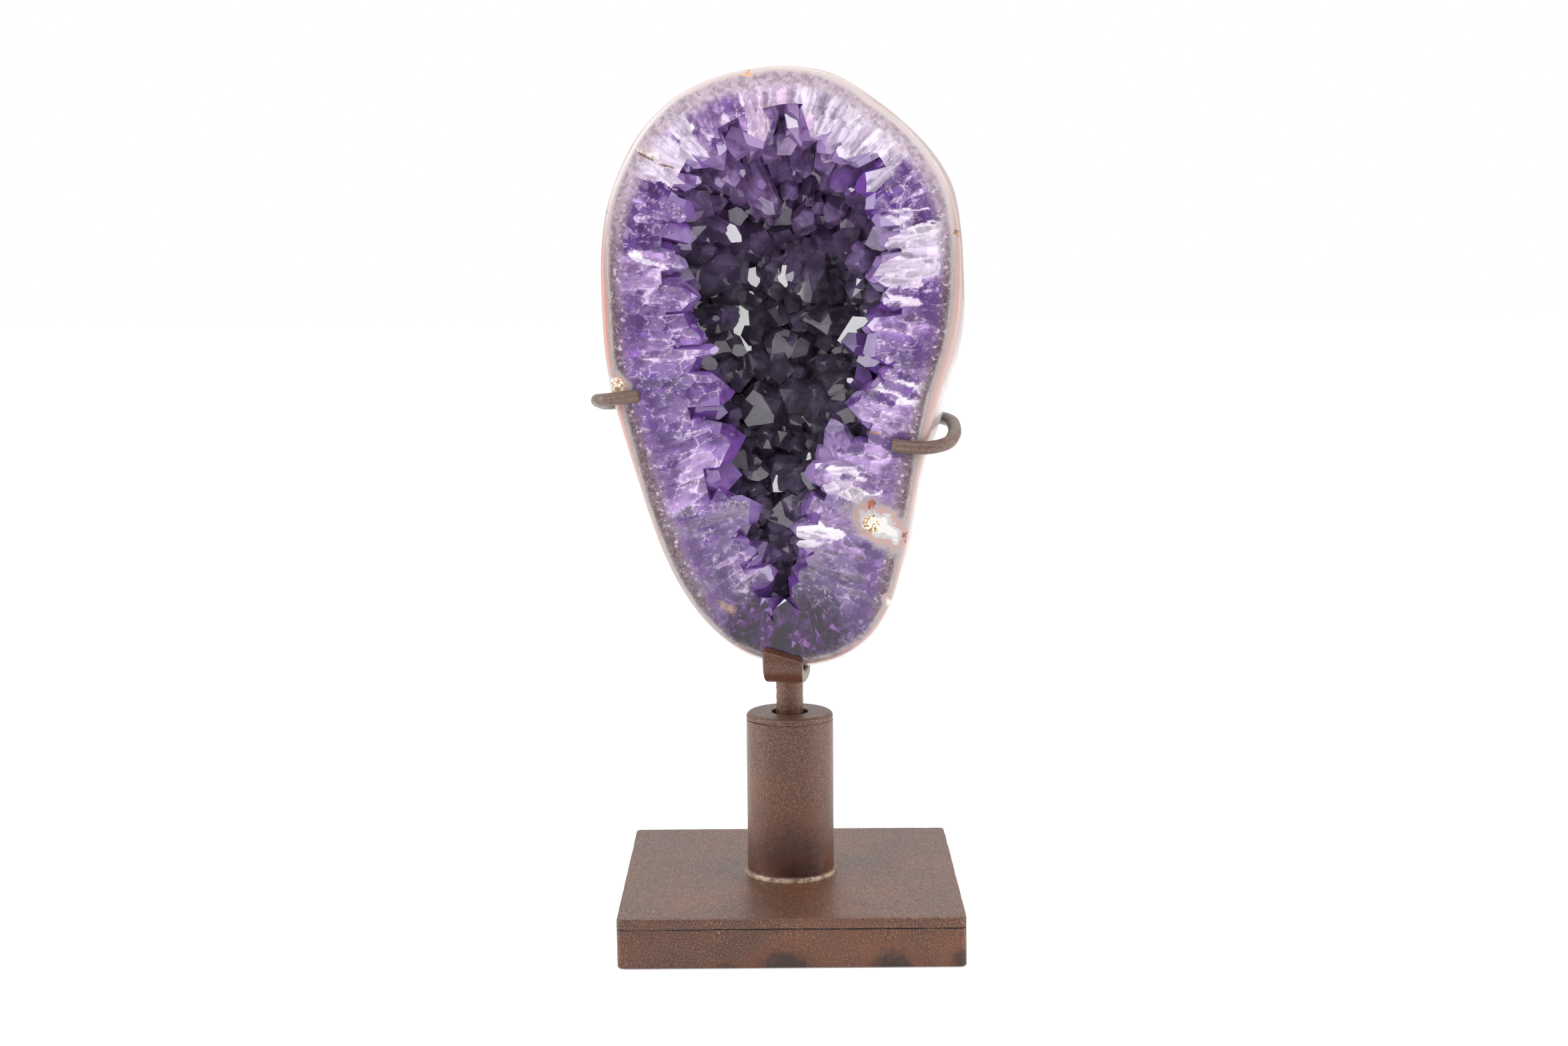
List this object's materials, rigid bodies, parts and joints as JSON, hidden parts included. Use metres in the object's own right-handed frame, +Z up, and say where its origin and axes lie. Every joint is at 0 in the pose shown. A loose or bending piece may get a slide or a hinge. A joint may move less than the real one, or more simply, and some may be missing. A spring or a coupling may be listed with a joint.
{
  "type": "amethyst geode on stand",
  "caption": "Tall cut amethyst geode held by a strap and two hooked rods on a spindle that turns in a post on a square base.",
  "frame": {"origin": "on the swivel axis, at the underside of the base", "axes": "+Z up along the swivel axis, -Y towards the front, +X to the right as seen from the front"},
  "size_m": [0.1764, 0.16, 0.4087],
  "materials": {
    "bronze_paint": "bronze brown paint with a fine metallic speckle and rust tints",
    "agate": "grey green and salmon pink agate, ground smooth at the cut face",
    "amethyst": "clear to milky violet crystals, ground flat at the cut face"
  },
  "bodies": {
    "stand_base": {"base_block": "bronze_paint", "base_top_plate": "bronze_paint", "post_tube": "bronze_paint", "post_cap": "bronze_paint"},
    "turning_head": {"spindle": "bronze_paint", "cradle_strap": "bronze_paint", "left_hook_arm": "bronze_paint", "right_hook_arm": "bronze_paint", "geode_shell": "agate", "crystal_crust": "amethyst"}
  },
  "joints": [
    {"name": "spindle_swivel", "type": "hinge", "parent": "stand_base", "child": "turning_head", "pos_m": [0, 0, 0.1], "axis": [0, 0, 1], "continuous": true}
  ]
}
